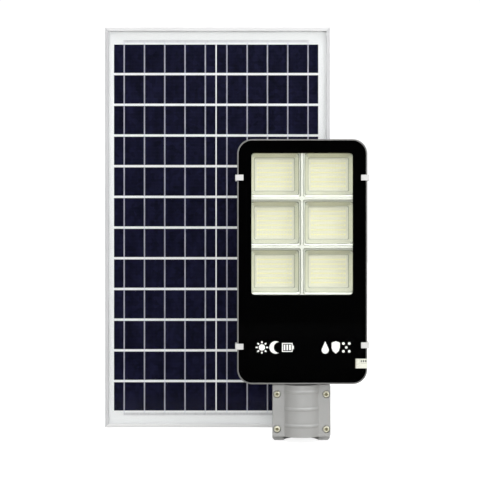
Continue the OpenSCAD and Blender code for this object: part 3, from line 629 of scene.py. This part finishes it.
def make_tray_pins():
    """Small domed rivets in the corners of each tray."""
    bm = bmesh.new()
    for n in MODULES:
        lo, hi = span(f"reflector_{n}")
        centre = (lo + hi) / 2
        half_w, half_h = (hi.x - lo.x) / 2, (hi.z - lo.z) / 2
        x = half_w + PIN_SHARE * (FLOOR_HALF_W - half_w) - PIN_INSET
        z = half_h + PIN_SHARE * (FLOOR_HALF_H - half_h) - PIN_INSET
        for sx in (-1, 1):
            for sz in (-1, 1):
                place = Vector((centre.x + sx * x, lo.y + PIN_DEPTH, centre.z + sz * z))
                turned(bm, [(PIN_R * r, h * MM) for r, h in PIN_DOME], place, (0, -1, 0), count=14)
    add_piece("tray_pins", bm, "reflector_plate", "lamp")


CHIPS_X, CHIP_ROWS = 12, 6
CHIP_PITCH_X, CHIP_PITCH_Z = 4.3 * MM, 6.7 * MM
CHIP_W, CHIP_H, CHIP_T = 3.5 * MM, 3.0 * MM, 0.8 * MM
CHIP_RIM = 0.32 * MM
CHIP_SHAPE = ((0, 0.0), (0, CHIP_T * 0.8), (0.1 * MM, CHIP_T), (CHIP_RIM, CHIP_T),
              (CHIP_RIM + 0.12 * MM, CHIP_T * 0.72))


def make_chips():
    """Every chip is a white package with a sunken phosphor window."""
    bm = bmesh.new()
    for n in MODULES:
        lo, hi = span(f"led_board_{n}")
        for i in range(CHIPS_X):
            for j in range(CHIP_ROWS):
                x = (lo.x + hi.x) / 2 + (i - (CHIPS_X - 1) / 2) * CHIP_PITCH_X
                z = (lo.z + hi.z) / 2 + (j - (CHIP_ROWS - 1) / 2) * CHIP_PITCH_Z
                rings = []
                for inset, height in CHIP_SHAPE:
                    w, h = CHIP_W / 2 - inset, CHIP_H / 2 - inset
                    rings.append([(x + sx * w, lo.y - height, z + sz * h)
                                  for sx, sz in ((1, 1), (-1, 1), (-1, -1), (1, -1))])
                window = bm.faces.new(loft(bm, rings)[-1])
                window.material_index = 1
    add_piece("led_packages", bm, "phosphor", "lamp", ["led_chips"], [PACKAGE_WHITE, MATS["phosphor"]],
              smooth_angle=20)


for n in MODULES:
    make_tray(n)
make_tray_pins()
make_chips()


# ---------- generic signs printed on the lamp glass ----------
PRINT_Y = LAMP_Y + 4.45 * MM
PRINT_T = 0.04 * MM
SIGN_Z = 137.5 * MM
SIGN_H = 18 * MM


def arc(cx, cz, r, a0, a1, steps=24):
    """Points (x, z) along a circle from angle a0 to a1 in degrees."""
    return [(cx + r * math.cos(math.radians(a0 + (a1 - a0) * i / steps)),
             cz + r * math.sin(math.radians(a0 + (a1 - a0) * i / steps))) for i in range(steps + 1)]


def ink(bm, outline):
    slab_of(bm, outline, PRINT_Y, PRINT_Y + PRINT_T)


def bar(bm, x0, x1, z0, z1):
    ink(bm, [(x0, z0), (x1, z0), (x1, z1), (x0, z1)])


def sign_sun(bm, x):
    ink(bm, arc(x, SIGN_Z, 4.6 * MM, 0, 345, steps=23))
    near, far = 6.1 * MM, SIGN_H / 2
    for k in range(8):
        a = math.radians(45 * k)
        out, side = Vector((math.cos(a), math.sin(a))), Vector((-math.sin(a), math.cos(a)))
        ray = [out * near + side * 1.25 * MM, out * far + side * 0.9 * MM,
               out * far - side * 0.9 * MM, out * near - side * 1.25 * MM]
        ink(bm, [(x + p.x, SIGN_Z + p.y) for p in ray])


def sign_moon(bm, x):
    outer = arc(x, SIGN_Z, SIGN_H / 2, 60, 300)
    inner = arc(x + 5.2 * MM, SIGN_Z, 7.8 * MM, 83, 277)
    for a, b, c, d in zip(outer, outer[1:], inner[1:], inner):
        ink(bm, [a, b, c, d])


def sign_battery(bm, x):
    w, h, line = 7.6 * MM, 6.4 * MM, 1.3 * MM
    bar(bm, x - w, x + w, SIGN_Z + h - line, SIGN_Z + h)
    bar(bm, x - w, x + w, SIGN_Z - h, SIGN_Z - h + line)
    bar(bm, x - w, x - w + line, SIGN_Z - h + line, SIGN_Z + h - line)
    bar(bm, x + w - line, x + w, SIGN_Z - h + line, SIGN_Z + h - line)
    bar(bm, x + w, x + w + 1.8 * MM, SIGN_Z - 2.6 * MM, SIGN_Z + 2.6 * MM)
    for k in range(3):
        left = x - w + line + 1.1 * MM + k * 3.95 * MM
        bar(bm, left, left + 2.5 * MM, SIGN_Z - h + line + 1.1 * MM, SIGN_Z + h - line - 1.1 * MM)


def sign_drop(bm, x):
    ink(bm, arc(x, SIGN_Z - 3.8 * MM, 5.2 * MM, -205, 25) + [(x, SIGN_Z + SIGN_H / 2)])


def sign_shield(bm, x):
    w = 6.0 * MM
    top, low = SIGN_Z + SIGN_H / 2, SIGN_Z - SIGN_H / 2
    side = [(w, top - 2.2 * MM), (w, SIGN_Z - 0.5 * MM), (w * 0.72, SIGN_Z - 5.2 * MM), (0, low)]
    ink(bm, [(x, top)] + [(x + px, z) for px, z in side] + [(x - px, z) for px, z in side[-2::-1]])


def sign_dust(bm, x):
    for i, j in ((0, 0), (-1, -1), (-1, 1), (1, -1), (1, 1)):
        ink(bm, arc(x + i * 4.2 * MM, SIGN_Z + j * 5.6 * MM, 2.0 * MM, 0, 330, steps=11))


# each sign and its place across the lamp in mm from the middle
SIGNS = ((sign_sun, -57.7), (sign_moon, -38.0), (sign_battery, -21.3),
         (sign_drop, 33.2), (sign_shield, 48.3), (sign_dust, 63.5))


def make_signs():
    """Prints all the signs in one row."""
    bm = bmesh.new()
    for draw, offset in SIGNS:
        draw(bm, LAMP_X + offset * MM)
    add_piece("print_signs", bm, "clip_white", "lamp", finish=[INK_WHITE])


make_signs()


# ---------- threads on the studs' free ends ----------
THREAD_H = 0.3 * MM
# node, body, direction, radius and free length in mm, pitch in mm
STUDS = (("ear_bolts", "panel", "y", 3, 3, 1.0), ("yoke_bolts", "yoke", "z", 3, 3, 1.0),
         ("pivot_bolts", "panel", "x", 4, 9, 1.25))


def loose_boxes(node):
    """Lowest and highest corners of each separate solid in a node."""
    bm = bmesh.new()
    bm.from_mesh(NODES[node].data)
    bmesh.ops.remove_doubles(bm, verts=bm.verts, dist=WELD_DISTANCE)
    seen, boxes = set(), []
    for start in bm.verts:
        if start in seen:
            continue
        seen.add(start)
        stack, points = [start], []
        while stack:
            v = stack.pop()
            points.append(v.co.copy())
            for edge in v.link_edges:
                other = edge.other_vert(v)
                if other not in seen:
                    seen.add(other)
                    stack.append(other)
        boxes.append((Vector([min(p[i] for p in points) for i in range(3)]),
                      Vector([max(p[i] for p in points) for i in range(3)])))
    bm.free()
    return boxes


def make_threads(node, body, direction, radius, bare, pitch):
    """Adds a thread round the free end of each stud in a node."""
    bm = bmesh.new()
    for lo, hi in loose_boxes(node):
        place = (lo + hi) / 2
        if direction == "x":
            way = -1 if place.x < PANEL_X else 1
            place.x = lo.x + bare * MM if way < 0 else hi.x - bare * MM
            axis = (way, 0, 0)
        elif direction == "y":
            place.y = hi.y - bare * MM
            axis = (0, 1, 0)
        else:
            place.z = hi.z - bare * MM
            axis = (0, 0, 1)
        thread(bm, place, axis, (radius - 0.05) * MM, (bare - 0.2) * MM, pitch * MM, THREAD_H)
    add_piece(f"threads_{node}", bm, "zinc_bolts", body, smooth_angle=50)


for stud in STUDS:
    make_threads(*stud)


# ---------- junction box, gland, inlet and button details at the back ----------
LID_SCREW = ((2.0, 0), (2.0, 0.45), (1.6, 0.72), (0.75, 0.78), (0.6, 0.35), (0, 0.3))


LID_RIB_PITCH = 8 * MM
LID_RIB_HALF_H = 16 * MM
LID_RIB_RAISE = 4 * MM
LID_SCREW_INSET = 8 * MM


def make_lid_details():
    """Raised ribs on the lid and a screw in each of its lower corners."""
    lo, hi = span("junction_lid")
    mid = (lo + hi) / 2
    rib_half, rib_out = 0.8 * MM, 0.7 * MM
    sections = ((0.5 * MM, hi.y - 0.1 * MM), (0.35 * MM, hi.y + rib_out * 0.6), (0, hi.y + rib_out))
    bm = bmesh.new()
    for k in range(-4, 5):
        centre = Vector((mid.x + k * LID_RIB_PITCH, 0, mid.z + LID_RIB_RAISE))
        rings = [round_ring(centre, rib_half + grow, LID_RIB_HALF_H + grow, rib_half * 0.9, y, steps=4)
                 for grow, y in sections]
        bm.faces.new(loft(bm, rings)[-1])
    add_piece("lid_ribs", bm, "black_plastic", "panel")
    bm = bmesh.new()
    for s in (-1, 1):
        place = Vector((mid.x + s * ((hi.x - lo.x) / 2 - LID_SCREW_INSET), hi.y - 0.8 * MM,
                        lo.z + LID_SCREW_INSET))
        turned(bm, [(r * MM, h * MM) for r, h in LID_SCREW], place, (0, 1, 0), count=20)
    add_piece("lid_screws", bm, "zinc_bolts", "panel")


def grip_ring(bm, place, axis, radius, length, count, size):
    """Half-round grip ridges set round a turned cap."""
    turn = Vector((0, 0, 1)).rotation_difference(Vector(axis)).to_matrix()
    bow = [math.radians(deg) for deg in (-90, -45, 0, 45, 90)]
    core = radius - 0.1 * MM
    for k in range(count):
        a = 2 * math.pi * k / count
        out, side = Vector((math.cos(a), math.sin(a), 0)), Vector((-math.sin(a), math.cos(a), 0))
        rings = []
        for h, grow in ((0, 0.35), (size, 1.0), (length - size, 1.0), (length, 0.35)):
            bulge = size * grow
            rings.append([place + turn @ (out * (core + bulge * math.cos(b))
                                          + side * bulge * math.sin(b) + Vector((0, 0, h))) for b in bow])
        rows = loft(bm, rings)
        bm.faces.new(rows[0][::-1])
        bm.faces.new(rows[-1])


GRIP_MARGIN = 1.5 * MM


def make_grips():
    """Grip ridges round the gland's nut and the inlet socket's ring."""
    lo, hi = span("gland_nut")
    mid = (lo + hi) / 2
    bm = bmesh.new()
    grip_ring(bm, Vector((mid.x, mid.y, lo.z + GRIP_MARGIN)), (0, 0, 1), radius=(hi.x - lo.x) / 2,
              length=hi.z - lo.z - 2 * GRIP_MARGIN, count=20, size=0.55 * MM)
    add_piece("gland_grips", bm, "black_plastic", "panel")
    lo, hi = span("inlet_socket")
    mid = (lo + hi) / 2
    bm = bmesh.new()
    grip_ring(bm, Vector((mid.x, hi.y - 5.6 * MM, mid.z)), (0, 1, 0), radius=8 * MM, length=5.0 * MM,
              count=24, size=0.5 * MM)
    add_piece("inlet_grips", bm, "black_plastic", "lamp")


def make_button_mark():
    """A ring with a bar, the common sign for on and off, raised on the button's face."""
    lo, hi = span("power_button")
    mid = (lo + hi) / 2
    y0, y1 = hi.y - 0.05 * MM, hi.y + 0.12 * MM
    half = 0.4 * MM
    bm = bmesh.new()
    slab_of(bm, arc(mid.x, mid.z, 3.6 * MM, 125, 415) + arc(mid.x, mid.z, 2.8 * MM, 415, 125), y0, y1)
    slab_of(bm, [(mid.x - half, mid.z + 0.6 * MM), (mid.x + half, mid.z + 0.6 * MM),
                 (mid.x + half, mid.z + 4.2 * MM), (mid.x - half, mid.z + 4.2 * MM)], y0, y1)
    add_piece("button_mark", bm, "clip_white", "button", finish=[INK_WHITE])


HEX_R = 2.2
HEAD_R = 4.6
# radius and height in mm over the face of a clamp bolt
HEAD_DOME = ((HEAD_R, -0.6), (HEAD_R, 0.15), (HEAD_R - 0.2, 0.5), (HEAD_R - 0.8, 0.9), (HEX_R + 0.8, 1.15),
             (HEX_R + 0.35, 1.2), (HEX_R + 0.1, 1.1))
SOCKET = ((HEX_R + 0.1, 1.1), (HEX_R, 0.9), (HEX_R * 0.97, -0.5), (0, -0.9))


def make_bolt_heads():
    """Domed faces on the four clamp bolts, each with a hexagon socket lined dark as painted shade."""
    domes, sockets = bmesh.new(), bmesh.new()
    for lo, hi in loose_boxes("cap_bolts"):
        place = Vector(((lo.x + hi.x) / 2, lo.y, (lo.z + hi.z) / 2))
        turned(domes, [(r * MM, h * MM) for r, h in HEAD_DOME], place, (0, -1, 0), count=36)
        turned(sockets, [(r * MM, h * MM) for r, h in SOCKET], place, (0, -1, 0), count=6)
    add_piece("bolt_domes", domes, "zinc_bolts", "sleeve_front")
    add_piece("bolt_sockets", sockets, "zinc_bolts", "sleeve_front", finish=[SOCKET_SHADE])


make_lid_details()
make_grips()
make_bolt_heads()
make_button_mark()


# ---------- stage, lights, camera ----------
def look_at(obj, target):
    obj.rotation_euler = (Vector(target) - obj.location).to_track_quat("-Z", "Y").to_euler()


def softbox(name, place, target, size, power, mirrored=True, lit=True):
    """A square lamp; mirrored shows it to mirror rays, lit lets it light matt faces."""
    data = bpy.data.lights.new(name, "AREA")
    data.shape = "SQUARE"
    data.size = size
    data.energy = power
    lamp = bpy.data.objects.new(name, data)
    bpy.context.collection.objects.link(lamp)
    lamp.location = place
    lamp.visible_glossy = mirrored
    lamp.visible_diffuse = lit
    look_at(lamp, target)


# distance from the panel's front, width of the view there, and the camera's place, all in metres
CAMERA_D = 1.9
VIEW_W = 0.74667
CAMERA_X = PANEL_X + 0.03508
CAMERA_Z = 0.29167


def make_camera():
    data = bpy.data.cameras.new("camera")
    data.sensor_width = 36
    data.lens = data.sensor_width * CAMERA_D / VIEW_W
    cam = bpy.data.objects.new("camera", data)
    bpy.context.collection.objects.link(cam)
    cam.location = (CAMERA_X, PANEL_Y - CAMERA_D, CAMERA_Z)
    cam.rotation_euler = (math.pi / 2, 0, 0)
    bpy.context.scene.camera = cam


def make_floor():
    """White to the eye, middling to the faces it lights, nearly black to mirror rays in front of the part."""
    half, z = 14.0, -0.0004
    mesh = bpy.data.meshes.new("floor")
    corners = [(-half, -half, z), (half, -half, z), (half, half, z), (-half, half, z)]
    mesh.from_pydata(corners, [], [(0, 1, 2, 3)])
    floor = bpy.data.objects.new("floor", mesh)
    bpy.context.collection.objects.link(floor)
    m, t = new_material("floor_white")
    seen = t.principled(Base_Color=(0.4, 0.4, 0.4), Roughness=0.9, Specular_IOR_Level=0.0,
                        Emission_Color=(1, 1, 1), Emission_Strength=0.88)
    path = t.add("ShaderNodeLightPath").outputs
    far = t.remap(t.axes()[1], -0.40, -0.15, 1.0, 0.0)
    mirrored = t.mix(far, (0.36, 0.34, 0.29), (0.03, 0.03, 0.03))
    tone = t.mix(path["Is Glossy Ray"], (0.45, 0.44, 0.42), mirrored)
    lit = t.principled(Base_Color=tone, Roughness=0.9, Specular_IOR_Level=0.0)
    t.out(t.blend(path["Is Camera Ray"], lit.outputs[0], seen.outputs[0]))
    mesh.materials.append(m)


def make_world():
    """White to the eye, an even room for soft light, and a dark studio in front for mirror rays."""
    world = bpy.data.worlds.new("studio")
    bpy.context.scene.world = world
    t = Tree(world)
    path = t.add("ShaderNodeLightPath").outputs
    x, y, z = t.axes(t.add("ShaderNodeTexCoord").outputs["Generated"])
    front = t.remap(y, -0.96, -0.62, 0.02, 1.0, smooth=True)
    side = t.remap(t.math("ABSOLUTE", x), 0.3, 0.95, 1.0, 0.6, smooth=True)
    tall = t.remap(z, -0.5, 0.4, 0.55, 1.0, smooth=True)
    glossy = t.add("ShaderNodeBackground")
    t.link(t.math("MULTIPLY", front, t.math("MULTIPLY", side, tall)), glossy.inputs["Strength"])
    room = t.add("ShaderNodeBackground")
    t.link(t.remap(z, -0.2, 0.9, 0.2, 0.9), room.inputs["Strength"])
    seen = t.add("ShaderNodeBackground")
    seen.inputs["Strength"].default_value = 1.05
    for b in (glossy, room, seen):
        b.inputs["Color"].default_value = (1, 1, 1, 1)
    unseen = t.blend(path["Is Glossy Ray"], room.outputs[0], glossy.outputs[0])
    t.out(t.blend(path["Is Camera Ray"], unseen, seen.outputs[0]), "ShaderNodeOutputWorld")


make_camera()
make_floor()
make_world()
STAGE_MIDDLE = (0, 0, 0.3)
softbox("key", (-1.1, -1.6, 1.9), STAGE_MIDDLE, size=1.2, power=1)
softbox("fill", (1.7, -1.5, 0.9), STAGE_MIDDLE, size=1.1, power=12)
softbox("front", (0, -2.6, 0.25), (0, 0, 0.25), size=1.2, power=46, mirrored=False)
softbox("gleam", (0.1, -2.4, 1.4), (0.1, 0, 0.05), size=0.3, power=9, lit=False)
softbox("top", (0, -0.7, 3.4), STAGE_MIDDLE, size=1.6, power=42)
softbox("back_left", (-1.6, 1.8, 1.4), STAGE_MIDDLE, size=1.2, power=12)
softbox("back_right", (1.6, 1.8, 1.4), STAGE_MIDDLE, size=1.2, power=8)
bpy.context.scene.view_settings.view_transform = "Standard"
bpy.context.scene.view_settings.look = "None"
